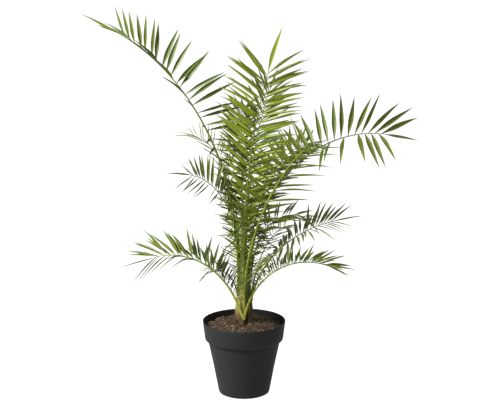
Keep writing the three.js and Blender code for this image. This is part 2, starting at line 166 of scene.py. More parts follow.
# foot: heading, radius and height where the midrib leaves the stem. heading and sweep: where the
# frond points in plan and how far that turns towards the tip. lean: degrees from upright at foot
# and tip. bend: above 1 the bend is near the tip. length: of the midrib. roll: degrees that the blade
# is turned about the midrib at foot and tip. rib: half its width at the foot, where it isn't usual.
# leaflet: length of the longest. pairs: leaflets on each side. vee: degrees that right and left
# leaflets rise out of the blade's plane, and tip_vee: the same at the tip, where it differs.
# width: of the broadest leaflet.
FRONDS = [
    dict(USUAL, name="upper_left", parts=2, stalk="bright", leaf="shady",
         foot=(206, 0.015, 0.301), heading=196, sweep=-46, lean=(1, 67.4), bend=1.6, length=0.884,
         roll=(-50, 3), rib=0.0056, leaflet=0.154, tip_length=0.58, pairs=34, bare=0.2,
         kept=(1, 0.5), bunching=0.6, opening=(100, 20), closing=2, skew=15, vee=(47, 29),
         tip_vee=(83, 41), twist=(5, -15), width=0.0195, widening=0.54, slender=2.2, last=0.95,
         last_width=1.8, spacing=0.012),
    dict(USUAL, name="centre_front", tone="young",
         foot=(266, 0.015, 0.301), heading=272, sweep=48, lean=(3, 20), bend=1.0, length=0.684,
         roll=(-26, -32), leaflet=0.130, foot_length=0.16, longest_at=0.8, tip_length=1.05,
         pairs=48, bare=0.24, crowding=0.9, opening=(60, 38), closing=6, skew=6, gather=(24, 4),
         vee=(18, -30), tip_vee=(26, 3), width=0.0106, widening=0.4, last=1.14, last_width=1.4,
         last_turn=-55, spacing=0.009),
    dict(USUAL, name="centre_back", leaf="deep",
         foot=(45, 0.004, 0.301), heading=60, sweep=-10, lean=(1, 30), bend=1.7, length=0.600,
         roll=(20, 20), leaflet=0.112, pairs=36, bare=0.3, vee=(20, 35), width=0.0108),
    dict(USUAL, name="right_front", stalk="fresh", leaf="young",
         foot=(272, 0.025, 0.236), heading=339, sweep=-51, lean=(-3, 63.5), bend=1.1, length=0.652,
         roll=(-2, -21), rib=0.0040, flare=0,
         leaflet=0.146, pairs=24, kept=(1, 0.6), opening=(65, 62), closing=2.4, skew=-9,
         vee=(-25, -14), tip_vee=(44, 45), twist=(20, 30), width=0.0080, spacing=0.007),
    dict(USUAL, name="right_arch", parts=2, stalk="old",
         foot=(6, 0.015, 0.301), heading=-5, sweep=18, lean=(0, 101), bend=1.43, length=0.697,
         roll=(10, 56), rib=0.0040,
         leaflet=0.148, longest_at=0.25, tip_length=0.96, pairs=26, bare=0.24, kept=(0.6, 1),
         bunching=0.15, opening=(96, 57), closing=5.8, skew=19, vee=(103, -13), tip_vee=(43, 16),
         twist=(18, -8), width=0.0172, last_width=0.6),
    dict(USUAL, name="mid_left", stalk="fresh", leaf="pale",
         foot=(168, 0.015, 0.301), heading=200, sweep=17, lean=(0, 76), bend=2.15, length=0.431,
         roll=(3, -73), rib=0.0034,
         leaflet=0.092, longest_at=0.8, pairs=40, kept=(1, 0.5), bunching=0.4,
         opening=(77, 28), closing=3.7, vee=(-46, 104), tip_vee=(46, -2), twist=(-35, 50),
         width=0.0098, last=1.0, last_width=0.8, spacing=0.016, spine_stretch=1.7),
    dict(USUAL, name="low_left", parts=2, stalk="fresh", leaf="shady",
         foot=(265, 0.0265, 0.234), heading=193, sweep=2, lean=(18.8, 102), bend=1.42, length=0.357,
         roll=(-3, -35), rib=0.0054, flare=0,
         leaflet=0.150, pairs=41, bare=0.2, kept=(1, 0.35), bunching=0.5, opening=(69, 44),
         closing=3.6, skew=11, vee=(33, 94), tip_vee=(-3, 23), twist=(-42, -60), width=0.0108,
         last=0.75, last_width=0.6, spines=0.14),
    dict(USUAL, name="low_right", parts=2, stalk="fresh",
         foot=(271, 0.0265, 0.234), heading=352, sweep=-10, lean=(11.3, 109), bend=1.14,
         length=0.346, roll=(-6, 26), rib=0.0048, flare=0,
         leaflet=0.080, longest_at=0.73, tip_length=0.96, pairs=38, kept=(0.75, 1),
         bunching=0.4, opening=(86, 21), closing=5, skew=-6, vee=(58, 38), tip_vee=(69, 9),
         twist=(-60, -25), width=0.0072, last=0.9, spines=0.16),
    dict(USUAL, name="mid_right", stalk="sheathed", leaf="pale",
         foot=(323, 0.024, 0.244), heading=-2.5, sweep=20, lean=(-3.6, 82), bend=0.85, length=0.391,
         roll=(44, 31), rib=0.0034, flare=0.0012,
         leaflet=0.150, foot_length=0.2, longest_at=0.5, tip_length=0.66, pairs=37,
         kept=(0.75, 1), bunching=0.25, opening=(91, 43), closing=3.8, skew=11, vee=(100, -82),
         tip_vee=(41, 16), twist=(-45, -35), width=0.0108, spines=0.1),
    dict(USUAL, name="back_right_low", parts=2, tone="old",
         foot=(38, 0.015, 0.301), heading=38, sweep=-38, lean=(8, 130), bend=2.5, length=0.328,
         roll=(10, 20), leaflet=0.078, pairs=22, bare=0.2, vee=(25, 25), width=0.0098),
    dict(USUAL, name="back_right_high", tone="old",
         foot=(70, 0.015, 0.301), heading=56, sweep=-17, lean=(9, 90), bend=2.2, length=0.528,
         roll=(10, 25), leaflet=0.100, pairs=32, vee=(22, 22), width=0.0118),
    dict(USUAL, name="back_left_high", tone="old",
         foot=(133, 0.015, 0.301), heading=136, sweep=4, lean=(2, 95), bend=3.0, length=0.530,
         roll=(-10, -25), rib=0.0020, leaflet=0.090, pairs=31, vee=(22, 45), width=0.0042),
    dict(USUAL, name="back_mid", leaf="deep",
         foot=(101, 0.015, 0.301), heading=95, sweep=-6, lean=(1, 70), bend=1.5, length=0.600,
         roll=(0, 0), leaflet=0.104, pairs=36, bare=0.24, vee=(30, 40), width=0.0105),
    dict(USUAL, name="low_left_back", tone="old", leaf="pale",
         foot=(160, 0.019, 0.262), heading=150, sweep=20, lean=(0, 140), bend=1.7, length=0.172,
         roll=(-20, -30), rib=0.0020, leaflet=0.056, pairs=9, bare=0.4, vee=(26, 26), width=0.0044),
    dict(USUAL, name="low_back", parts=2,
         foot=(92, 0.023, 0.250), heading=92, sweep=6, lean=(14, 108), bend=1.2, length=0.390,
         roll=(0, 0), leaflet=0.084, pairs=25, vee=(34, 34), width=0.008855),
    dict(USUAL, name="low_right_back", tone="old", leaf="pale",
         foot=(40, 0.023, 0.256), heading=52, sweep=6, lean=(10, 96), bend=1.5, length=0.310,
         roll=(14, 14), leaflet=0.066, pairs=14, bare=0.38, vee=(32, 32), width=0.0048),
]

LEAFLET_SEED = 41
CHIP_SEED = 12


def lerp(start, end, share):
    return start + (end - start) * share


def ramp(value, start, end):
    """0 up to the start, 1 from the end on, and even between them."""
    return np.clip((value - start) / (end - start), 0, 1)


def heading_way(degrees):
    """Level unit vectors that point along headings."""
    angle = np.radians(degrees)
    return np.stack([np.cos(angle), np.sin(angle), 0 * angle], -1)


def unit(vectors):
    return vectors / np.linalg.norm(vectors, axis=-1, keepdims=True)


def turned(vectors, axes, degrees):
    """Each vector turned about its own axis, which is at right angles to it."""
    angle = np.radians(np.asarray(degrees, float))[..., None]
    return vectors * np.cos(angle) + np.cross(axes, vectors) * np.sin(angle)


# Materials

PRINCIPLED = "Principled BSDF"
FACTOR, COLOUR_A, COLOUR_B, COLOUR_OUT = 0, 6, 7, 2   # sockets of a Mix node that mixes colours


def linear(srgb):
    """An sRGB colour such as "6f9138" as the linear colour that shaders take."""
    channels = [int(srgb[i:i + 2], 16) / 255 for i in (0, 2, 4)]
    return (*(c / 12.92 if c <= 0.04045 else ((c + 0.055) / 1.055) ** 2.4 for c in channels), 1.0)


def add_node(tree, kind, sockets=None, **settings):
    """Adds a node, sets its properties, and gives each input a value or another node's output."""
    node = tree.nodes.new(kind)
    for name, value in settings.items():
        setattr(node, name, value)
    for name, value in (sockets or {}).items():
        if isinstance(value, bpy.types.NodeSocket):
            tree.links.new(value, node.inputs[name])
        else:
            node.inputs[name].default_value = value
    return node


def new_material(name, **constants):
    """A material with a Principled shader, and the constants that are the same all over it."""
    material = bpy.data.materials.new(name)
    material.use_nodes = True
    shader = material.node_tree.nodes[PRINCIPLED]
    for socket, value in constants.items():
        shader.inputs[socket.replace("_", " ")].default_value = value
    return material, material.node_tree, shader


def object_place(tree):
    return add_node(tree, "ShaderNodeTexCoord").outputs["Object"]


def height_of(tree, place):
    return add_node(tree, "ShaderNodeSeparateXYZ", {"Vector": place}).outputs["Z"]


def pattern(tree, place, size, detail):
    """The output of a noise node with patches of that size, in metres."""
    sockets = {"Vector": place, "Scale": 1 / size, "Detail": detail}
    return add_node(tree, "ShaderNodeTexNoise", sockets).outputs["Fac"]


def ranged(tree, value, **ends):
    """The output of a node that maps a value from one range to another."""
    sockets = {name.replace("_", " "): end for name, end in ends.items()}
    return add_node(tree, "ShaderNodeMapRange", {"Value": value, **sockets}).outputs["Result"]


def mixed(tree, share, start, end):
    """The output of a node that blends two colours."""
    mix = add_node(tree, "ShaderNodeMix", {FACTOR: share, COLOUR_A: start, COLOUR_B: end},
                   data_type="RGBA")
    return mix.outputs[COLOUR_OUT]


def paint(tree, shader, share, start, end):
    """Gives a shader a base colour that blends two sRGB colours."""
    colour = mixed(tree, share, linear(start), linear(end))
    tree.links.new(colour, shader.inputs["Base Color"])


def add_bump(tree, shader, height, distance, strength):
    bump = add_node(tree, "ShaderNodeBump",
                    {"Height": height, "Distance": distance, "Strength": strength})
    tree.links.new(bump.outputs["Normal"], shader.inputs["Normal"])


def mottled_material(name, light, dark, grain_mm, bump_mm, stretch=(1, 1, 1), **constants):
    """Two colours in soft patches of a real size, with a bump of the same pattern, drawn finer."""
    material, tree, shader = new_material(name, **constants)
    place = object_place(tree)
    mapping = add_node(tree, "ShaderNodeMapping", {"Vector": place, "Scale": stretch})
    stretched = mapping.outputs["Vector"]
    patches = pattern(tree, stretched, grain_mm * MM, detail=4)
    spread = ranged(tree, patches, From_Min=0.35, From_Max=0.65)
    paint(tree, shader, spread, dark, light)
    fine = pattern(tree, stretched, grain_mm * MM / 4, detail=3)
    add_bump(tree, shader, fine, distance=bump_mm * MM, strength=0.8)
    return material


def moulded_polypropylene():
    """Dyed polypropylene, injection moulded in a blasted mould: a dull charcoal skin whose fine grain
    spreads every reflection, and that shows pale only where it is seen at a glancing angle."""
    material, tree, shader = new_material("moulded_polypropylene", IOR=1.49, Specular_IOR_Level=0.22)
    place = object_place(tree)
    # Handling and dust leave patches a few centimetres wide
    patches = pattern(tree, place, 0.035, detail=5)
    paint(tree, shader, patches, "292a2a", "313232")
    dullness = ranged(tree, patches, To_Min=0.42, To_Max=0.6)
    tree.links.new(dullness, shader.inputs["Roughness"])
    # The mould's grain is 0.3 mm, drawn at 1.2 mm so that it shows
    grain = pattern(tree, place, 0.0012, detail=2)
    add_bump(tree, shader, grain, distance=0.0002, strength=0.35)
    return material


def palm_leaflet(name, light, dark):
    """A living leaflet: a waxy skin over parallel veins, which gives it a soft gloss and fine lines
    along its length. The veins are 0.6 mm apart, drawn at 1.5 mm so that they show."""
    material, tree, shader = new_material(name, Roughness=0.42, IOR=1.45)
    blade = add_node(tree, "ShaderNodeTexCoord").outputs["UV"]
    lines = add_node(tree, "ShaderNodeMapping",
                     {"Vector": blade, "Scale": (1 / 0.0015, 1 / 0.06, 1)})
    veins = pattern(tree, lines.outputs["Vector"], 1.0, detail=2)
    paint(tree, shader, veins, dark, light)
    add_bump(tree, shader, veins, distance=0.0002, strength=0.4)
    return material


def dried_leaflet(name, light, dark):
    """A leaflet's tip, dried by the air: bleached, papery fibre with no gloss left."""
    return mottled_material(name, light, dark, grain_mm=2, bump_mm=0.1, Roughness=0.7)


def petiole_skin(name, green, pale, pale_below, green_above):
    """A living leaf stalk: smooth and waxy, of one tint where the sheath kept it from the light and of
    another from the given height up. On sheathed that first tint is a dark brown, which is painted
    shade."""
    material, tree, shader = new_material(name, Roughness=0.38, IOR=1.45)
    place = object_place(tree)
    height = height_of(tree, place)
    greening = ranged(tree, height, From_Min=pale_below, From_Max=green_above)
    ground = mixed(tree, greening, linear(pale), linear(green))
    flecks = pattern(tree, place, 0.008, detail=4)
    shade = ranged(tree, flecks, To_Min=0.72, To_Max=1.25)
    colour = add_node(tree, "ShaderNodeVectorMath", {0: ground, "Scale": shade}, operation="SCALE")
    tree.links.new(colour.outputs["Vector"], shader.inputs["Base Color"])
    add_bump(tree, shader, flecks, distance=0.0005, strength=0.3)
    return material


def bark_chip(name, light, dark):
    """Pine bark, shredded and composted: dull, corky flakes, each broken along its layers."""
    return mottled_material(name, light, dark, grain_mm=3, bump_mm=0.6, stretch=(1, 1, 2.5),
                            Roughness=0.9)


def leaf_sheath(name, light, dark):
    """The clasping foot of a leaf stalk, dried in place: lengthwise fibres in a papery skin."""
    material = mottled_material(name, light, dark, grain_mm=3.5, bump_mm=0.9, stretch=(1, 1, 0.14),
                                Roughness=0.78)
    tree = material.node_tree
    colour = tree.nodes[PRINCIPLED].inputs["Base Color"]
    place = object_place(tree)
    height = height_of(tree, place)
    for tint, start, end in SHEATH_TINTS:
        fade = ranged(tree, height, From_Min=start, From_Max=end, To_Max=TINT_SHARE)
        tree.links.new(mixed(tree, fade, colour.links[0].from_socket, linear(tint)), colour)
    return material


# A leaf sheath is brown where soil and water reach it and green where it still lives: the tint, and
# the heights where it starts and where it is full
SHEATH_TINTS = [("5a4024", 0.266, 0.240), ("5c6e2a", 0.300, 0.335)]
TINT_SHARE = 0.85

# Three greens for the leaflets of each tone, dealt out one by one. For a stalk: its green, its tint
# near the sheath, the height up to which it has that tint, and the height from which it is green
LEAFLET_GREENS = {
    "young": [("90a32a", "788a1e"), ("758929", "5f721c"), ("53681f", "425414")],
    "full": [("778a30", "627323"), ("64782b", "50611e"), ("4f6224", "3d4d19")],
    "old": [("86983e", "6e8030"), ("72863a", "5c6e2a"), ("5c702c", "4a5a22")],
    "shady": [("718332", "5b6c28"), ("64772b", "506122"), ("566827", "43521e")],
    # deep: darker greens for the rear fronds, painted shade for their place behind the crown
    "deep": [("62762d", "4d5f22"), ("52652a", "41511e"), ("445521", "354318")],
    "pale": [("8a9a48", "738239"), ("758838", "5f702c"), ("5f7034", "4b5a26")],
}
PETIOLE_GREENS = {
    "young": ("7f9230", "5f6a2a", 0.42, 0.56),
    "full": ("8c9a38", "b0ae4e", 0.235, 0.34),
    "old": ("4a5826", "a4b042", 0.38, 0.47),
    "fresh": ("aebf46", "d4d468", 0.235, 0.34),
    "bright": ("8ea436", "8c9a38", 0.30, 0.50),
    # sheathed: mid_right's stalk is dark brown low down, painted shade for the stem's shaded right side
    "sheathed": ("93a23a", "40331a", 0.264, 0.300),
}

LEAFLET_MATERIALS = {
    tone: [palm_leaflet(f"palm_leaflet_{tone}_{i}", *greens) for i, greens in enumerate(shades)]
    for tone, shades in LEAFLET_GREENS.items()
}
PETIOLE_MATERIALS = {
    tone: petiole_skin(f"petiole_skin_{tone}", *greens) for tone, greens in PETIOLE_GREENS.items()
}
POT_PLASTIC = moulded_polypropylene()


# Modelling

def deselect_all():
    for thing in bpy.context.selected_objects:
        thing.select_set(False)


def only(piece):
    """Makes a piece the one that operators act on."""
    deselect_all()
    piece.select_set(True)
    bpy.context.view_layer.objects.active = piece


def coordinates(piece):
    places = np.empty(len(piece.data.vertices) * 3, np.float32)
    piece.data.vertices.foreach_get("co", places)
    return places.reshape(-1, 3).astype(float)


def lay(piece, places):
    piece.data.vertices.foreach_set("co", np.asarray(places, np.float32).ravel())
    piece.data.update()


def smooth(piece, degrees):
    only(piece)
    bpy.ops.object.shade_smooth_by_angle(angle=math.radians(degrees))


def dress(piece, materials, nodes=()):
    """Gives a finished piece its materials, its body and the nodes that it stands for."""
    piece.data.materials.clear()
    for material in materials:
        piece.data.materials.append(material)
    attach(piece, BODY)
    if nodes:
        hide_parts(*nodes)


def placed(name, data):
    """Puts a mesh, a lamp or a camera into the scene."""
    thing = bpy.data.objects.new(name, data)
    bpy.context.scene.collection.objects.link(thing)
    return thing


def joined_mesh(name, places, faces, shade=None, blade_uv=None):
    """One object from arrays: its points, its four-cornered faces, and a material for each face."""
    mesh = bpy.data.meshes.new(name)
    mesh.from_pydata(np.asarray(places).tolist(), [], np.asarray(faces).tolist())
    if shade is not None:
        mesh.polygons.foreach_set("material_index", np.asarray(shade, np.int32))
    if blade_uv is not None:
        layer = mesh.uv_layers.new(name="Blade")
        corners = np.empty(len(mesh.loops), np.int32)
        mesh.loops.foreach_get("vertex_index", corners)
        layer.data.foreach_set("uv", np.asarray(blade_uv, np.float32)[corners].ravel())
    mesh.validate()
    return placed(name, mesh)


def limb(name, sides, centres, depth_ways, width_ways, half_depths, half_widths, flat_top=1.0):
    """A closed bar laid along a path: a cylinder cut into rings, each ring set across the path."""
    deselect_all()
    rings = len(centres) - 1
    bpy.ops.mesh.primitive_cylinder_add(vertices=sides, radius=1, depth=1, location=(0, 0, 0))
    piece = bpy.context.object
    piece.name = piece.data.name = name
    bpy.ops.object.mode_set(mode="EDIT")
    bpy.ops.mesh.select_all(action="DESELECT")
    bpy.ops.object.mode_set(mode="OBJECT")
    for edge in piece.data.edges:
        low, high = (piece.data.vertices[i].co.z for i in edge.vertices)
        edge.select = abs(high - low) > 0.5
    bpy.ops.object.mode_set(mode="EDIT")
    bpy.ops.mesh.select_mode(type="EDGE")
    bpy.ops.mesh.subdivide(number_cuts=rings - 1)
    bpy.ops.object.mode_set(mode="OBJECT")
    x, y, z = coordinates(piece).T
    ring = np.rint((z + 0.5) * rings).astype(int)
    upper = np.where(x > 0, x * flat_top, x)
    lay(piece, centres[ring]
        + depth_ways[ring] * (upper * half_depths[ring])[:, None]
        + width_ways[ring] * (y * half_widths[ring])[:, None])
    return piece


def join(name, pieces):
    deselect_all()
    for piece in pieces:
        piece.select_set(True)
    bpy.context.view_layer.objects.active = pieces[0]
    bpy.ops.object.join()
    pieces[0].name = pieces[0].data.name = name
    return pieces[0]


# Pot

def ring_up(name, sides, radii_and_heights):
    """A turned shell: a filled circle, extruded ring by ring and resized to each radius."""
    deselect_all()
    (radius, height), *others = radii_and_heights
    bpy.ops.mesh.primitive_circle_add(vertices=sides, radius=radius, fill_type="NGON",
                                      location=(0, 0, height))
    piece = bpy.context.object
    piece.name = piece.data.name = name
    bpy.ops.object.transform_apply(location=True, rotation=True, scale=True)
    bpy.ops.object.mode_set(mode="EDIT")
    bpy.ops.mesh.select_all(action="SELECT")
    for next_radius, next_height in others:
        bpy.ops.mesh.extrude_region_move(
            TRANSFORM_OT_translate={"value": (0, 0, next_height - height)})
        scale = next_radius / radius
        bpy.ops.transform.resize(value=(scale, scale, 1), center_override=(0, 0, next_height))
        radius, height = next_radius, next_height
    bpy.ops.mesh.select_all(action="SELECT")
    bpy.ops.mesh.normals_make_consistent(inside=False)
    bpy.ops.object.mode_set(mode="OBJECT")
    return piece


def arc(centre_radius, centre_height, size, start, end):
    """Points of a round edge in the pot's section, from one angle to another, in degrees."""
    angles = np.radians(np.linspace(start, end, ARC_STEPS + 1))
    return [(centre_radius + size * math.cos(a), centre_height + size * math.sin(a)) for a in angles]


def eased(before, corner, after, reach):
    """Points of a soft edge in place of a corner of the pot's section."""
    before, corner, after = (np.array(place, float) for place in (before, corner, after))
    start = corner + unit(before - corner) * reach
    end = corner + unit(after - corner) * reach
    share = np.linspace(0, 1, EASED_STEPS + 1)[:, None]
    return [tuple(place) for place in lerp(lerp(start, corner, share), lerp(corner, end, share), share)]


def make_pot():
    lip = POT_WALL / 2
    # The shoulder is rounded by a few short steps, up to the crease where the collar's slope starts
    crease = (POT_SHOULDER - 0.0010, POT_SHOULDER_TOP + 0.0008)
    outside = [
        (POT_FOOT - POT_CORNER, 0),
        *arc(POT_FOOT - POT_CORNER, POT_CORNER, POT_CORNER, -72, 0),
        (lerp(POT_FOOT, POT_SHOULDER, 0.5), lerp(POT_CORNER, POT_SHOULDER_TOP, 0.52)),
        (POT_SHOULDER - 0.0006, POT_SHOULDER_TOP - 0.0045),
        (POT_SHOULDER - 0.0002, POT_SHOULDER_TOP - 0.0012),
        crease,
        *eased(crease, (POT_COLLAR, POT_COLLAR_FOOT), (POT_RIM, POT_HEIGHT), 0.0032),
        (lerp(POT_COLLAR, POT_RIM, 0.5), lerp(POT_COLLAR_FOOT, POT_HEIGHT, 0.5)),
        *arc(POT_RIM - lip, POT_HEIGHT - lip, lip, 0, 180),
    ]
    inside = [
        (POT_COLLAR - POT_WALL, POT_COLLAR_FOOT),
        (POT_SHOULDER - POT_WALL, POT_SHOULDER_TOP),
        (POT_FOOT - POT_WALL, POT_FLOOR),
    ]
    pot = ring_up("pot_shell", POT_SIDES, outside + inside)
    smooth(pot, 30)
    dress(pot, [POT_PLASTIC], ["pot"])


# Soil

UP_THE_COLLAR = (SOIL_WALL_HEIGHT - POT_COLLAR_FOOT) / (POT_HEIGHT - POT_COLLAR_FOOT)
SOIL_EDGE = lerp(POT_COLLAR, POT_RIM, UP_THE_COLLAR) - POT_WALL
SOIL_UNDERSIDE = SOIL_WALL_HEIGHT - 0.025
LUMP_HEIGHT, LUMP_SIZE = 0.0070, 0.026
CRUMB_HEIGHT, CRUMB_SIZE = 0.0034, 0.009
HOLLOW = (0.003, -0.034)   # a dark gap in the soil in front of the stem
HOLLOW_REACH = 0.008
HOLLOW_DEPTH = 0.011


def soil_height(x, y):
    reach = math.hypot(x, y)
    inward = min(max((SOIL_EDGE - reach) / (SOIL_EDGE - SOIL_SEAT_RADIUS), 0), 1)
    mound = lerp(SOIL_WALL_HEIGHT, SOIL_SEAT_HEIGHT, math.sin(inward * math.pi / 2))
    lumps = LUMP_HEIGHT * noise.noise(Vector((x, y, 0.3)) / LUMP_SIZE)
    crumbs = CRUMB_HEIGHT * noise.noise(Vector((x, y, 0.7)) / CRUMB_SIZE)
    gap = math.hypot(x - HOLLOW[0], y - HOLLOW[1]) / HOLLOW_REACH
    return mound + lumps + crumbs - HOLLOW_DEPTH * math.exp(-gap ** 2)


def make_soil_bed():
    """A disc of crumbs over the pot's inside, closed below by a flat underside out of sight."""
    rings = 40
    edge = SOIL_EDGE - 0.3 * MM
    levels = [(edge - 0.004, SOIL_UNDERSIDE), (edge, SOIL_WALL_HEIGHT)]
    levels += [(edge * (1 - k / rings), SOIL_WALL_HEIGHT) for k in range(1, rings)]
    bed = ring_up("soil_bed", 96, levels)
    places = coordinates(bed)
    top = places[:, 2] > SOIL_UNDERSIDE + MM
    places[top, 2] = [soil_height(x, y) for x, y, _ in places[top]]
    lay(bed, places)
    smooth(bed, 60)
    compost = mottled_material("peat_compost", "705c44", "382c20", grain_mm=5, bump_mm=2,
                               Roughness=0.95)
    dress(bed, [compost], ["soil"])


SQUARE = ((-1, -1), (1, -1), (1, 1), (-1, 1))
CHIP_CORNERS = np.array([(x, y, z) for z in (-1, 1) for x, y in SQUARE], float)
CHIP_FACES = np.array([(0, 3, 2, 1), (4, 5, 6, 7),
                       (0, 1, 5, 4), (1, 2, 6, 5), (2, 3, 7, 6), (3, 0, 4, 7)])
# Name, count, two colours, shortest and longest in mm, and thickness against width
CHIP_KINDS = [
    ("dark", 700, ("5a4a38", "352a20"), (2, 7), 0.6),
    ("brown", 900, ("75604a", "544434"), (1, 6), 0.5),
    ("tan", 90, ("c4aa80", "927850"), (2, 9), 0.35),
]


def chip_places(random, count):
    """Places scattered evenly over the soil, clear of the stem and of the hollow beside it."""
    nearest = STEM_PROFILE[0][1] + 2 * MM
    farthest = SOIL_EDGE - 4 * MM
    found = []
    while len(found) < count:
        x, y = random.uniform(-SOIL_EDGE, SOIL_EDGE, 2)
        from_hollow = math.hypot(x - HOLLOW[0], y - HOLLOW[1])
        if nearest < math.hypot(x, y) < farthest and from_hollow > HOLLOW_REACH * 0.8:
            found.append((x, y, soil_height(x, y)))
    return np.array(found)


def make_chips(random):
    for kind, count, colours, (shortest, longest), flatness in CHIP_KINDS:
        centres = chip_places(random, count)
        lengths = random.uniform(shortest, longest, count) * MM / 2
        widths = lengths * random.uniform(0.25, 0.9, count)
        heights = lengths * random.uniform(0.6, 1.2, count) * flatness
        corners = CHIP_CORNERS * (1 + random.uniform(-0.4, 0.25, (count, 8, 3)))
        corners *= np.stack([lengths, widths, heights], -1)[:, None, :]
        long_way = heading_way(random.uniform(0, 360, count))
        tilts = random.normal(0, 28, count)
        up_way = turned(np.tile(UP, (count, 1)), long_way, tilts)
        side_way = np.cross(up_way, long_way)
        ways = np.stack([long_way, side_way, up_way], 1)
        places = centres[:, None, :] + corners @ ways
        faces = CHIP_FACES[None] + (np.arange(count) * 8)[:, None, None]
        chips = joined_mesh(f"bark_chips_{kind}", places.reshape(-1, 3), faces.reshape(-1, 4))
        dress(chips, [bark_chip(f"pine_bark_{kind}", *colours)], ["soil"])


# Fronds

class Midrib:
    """The line of a frond's midrib, with its own three directions anywhere on it."""

    def __init__(self, frond):
        self.frond = frond
        around, radius, height = frond["foot"]
        foot = radius * heading_way(around) + height * UP
        middles = (np.arange(MIDRIB_STEPS) + 0.5) / MIDRIB_STEPS
        strides = self.directions(middles)[0] * frond["length"] / MIDRIB_STEPS
        self.points = np.vstack([foot, foot + np.cumsum(strides, axis=0)])

    def directions(self, share):
        """Along the midrib, out of the frond's upper face, and to the side, as rows of unit vectors."""
        frond = self.frond
        share = np.maximum(share, 0)
        outward = heading_way(frond["heading"] + frond["sweep"] * share)
        tilt = np.radians(lerp(*frond["lean"], share ** frond["bend"]))[:, None]
        along = outward * np.sin(tilt) + UP * np.cos(tilt)
        face = turned(UP * np.sin(tilt) - outward * np.cos(tilt), along, lerp(*frond["roll"], share))
        return along, face, np.cross(along, face)

    def at(self, share):
        steps = np.linspace(0, 1, MIDRIB_STEPS + 1)
        return np.stack([np.interp(share, steps, self.points[:, k]) for k in range(3)], -1)

    def half_width(self, share):
        """A stalk flared at its foot, then a rib that thins evenly to the frond's tip."""
        length = self.frond["length"]
        rib = self.frond.get("rib", RIB_FOOT * math.sqrt(length / RIB_FROND))
        flare = self.frond["flare"] * length * np.exp(-np.maximum(share, 0) * length / FLARE_REACH)
        return RIB_TIP + rib * (1 - np.clip(share, 0, 1)) ** RIB_TAPER + flare


def make_midrib(midrib):
    frond = midrib.frond
    share = np.linspace(0, 1, MIDRIB_STEPS + 1)
    along, face, side = midrib.directions(share)
    centres = midrib.at(share)
    centres[0] -= along[0] * MIDRIB_SUNK
    half_widths = midrib.half_width(share)
    piece = limb(f"{frond['name']}_midrib", MIDRIB_SIDES, centres, face, side,
                 half_widths * MIDRIB_DEPTH, half_widths, MIDRIB_FLAT_TOP)
    smooth(piece, 50)
    stalk = PETIOLE_MATERIALS[frond.get("stalk", frond["tone"])]
    dress(piece, [stalk], frond_nodes(frond))


def frond_nodes(frond):
    base = f"frond_{frond['name']}"
    return [base] if frond["parts"] == 1 else [base + "_lower", base + "_upper"]


def length_share(frond, share):
    """A leaflet's length as a share of the frond's longest, by its place on the midrib."""
    longest_at = frond["longest_at"]
    rising = lerp(frond["foot_length"], 1, np.sin(np.minimum(share / longest_at, 1) * np.pi / 2))
    past = np.maximum(share - longest_at, 0) / (1 - longest_at)
    return np.where(share < longest_at, rising, lerp(1, frond["tip_length"], past ** 2))


def bunched(random, count):
    """Leaflets stand in twos and threes: where each is in its bunch, from -1 to 1."""
    places = []
    while len(places) < count:
        places += np.linspace(-1, 1, random.integers(2, 4)).tolist()
    return np.array(places[:count])


def by_side(hand, values):
    """Each row's own value of a pair: first for the right side of the frond, then for the left."""
    right, left = values
    return np.where(hand > 0, right, left)


class Leaflets:
    """Where every leaflet of a frond stands, as rows: root, directions, length and width."""

    def __init__(self, midrib, share, hand, random, fan=0):
        frond = midrib.frond
        count = len(share)
        along, face, side = midrib.directions(share)
        hand_column = hand[:, None]
        shortened = length_share(frond, share)
        self.length = frond["leaflet"] * shortened * random.uniform(*LENGTH_RANGE, count)
        waver = random.uniform(-1, 1, count) * LEAFLET_WAVER
        gathered = by_side(hand, frond["gather"]) * np.clip((GATHER_END - share) / GATHER_FADE, 0, 1)
        angle = lerp(*frond["opening"], share ** frond["closing"]) + frond["skew"] * hand - gathered
        opening = np.radians(angle + waver + BUNCH_OPENING * fan)[:, None]
        tip_vee = frond.get("tip_vee", frond["vee"])
        vee = lerp(by_side(hand, frond["vee"]), by_side(hand, tip_vee), share)
        rise = vee + waver + BUNCH_RISE * fan + random.normal(*RISE_SPREAD, count)
        rise = np.radians(rise)[:, None]
        outward = side * hand_column * np.cos(rise) + face * np.sin(rise)
        direction = along * np.cos(opening) + outward * np.sin(opening)
        level = np.sqrt(1 - direction[:, 2:] ** 2)
        self.direction = unit(direction - UP * LEAFLET_HANG * self.length[:, None] * level)
        across = unit(along - self.direction * (along * self.direction).sum(-1, keepdims=True))
        twist = by_side(hand, frond["twist"]) + random.normal(*TWIST_SPREAD, count)
        self.across = turned(across * hand_column, self.direction, hand * twist)
        self.root = midrib.at(share) - self.direction * LEAFLET_SUNK
        widened = np.clip((share - frond["bare"]) / frond["widening"], 0, 1) ** frond["slender"]
        broad = frond["width"] * lerp(LEAFLET_FOOT_WIDTH, 1, widened) * shortened
        self.width = broad * random.uniform(*WIDTH_RANGE, count)
        self.bow = random.uniform(*BOW_RANGE, count)
        self.curl = random.normal(*CURL_SPREAD, count)
        self.side_sweep = random.normal(*SIDE_SWEEP_SPREAD, count)

    def add(self, others):
        for name, rows in vars(others).items():
            setattr(self, name, np.concatenate([getattr(self, name), rows]))


def blade_width(reach):
    """Half a blade's outline as a share of its greatest width: narrow foot, long fine tip."""
    swelling = np.sin(np.minimum(reach / LEAFLET_WIDEST, 1) * np.pi / 2) ** BLADE_FOOT_CURVE
    past = np.clip((reach - LEAFLET_WIDEST) / (1 - LEAFLET_WIDEST), 0, 1)
    taper = (1 - past ** BLADE_TIP_CURVE) * (1 - BLADE_TIP_THINNING * past)
    return np.where(reach < LEAFLET_WIDEST, lerp(BLADE_FOOT, 1, swelling), taper)


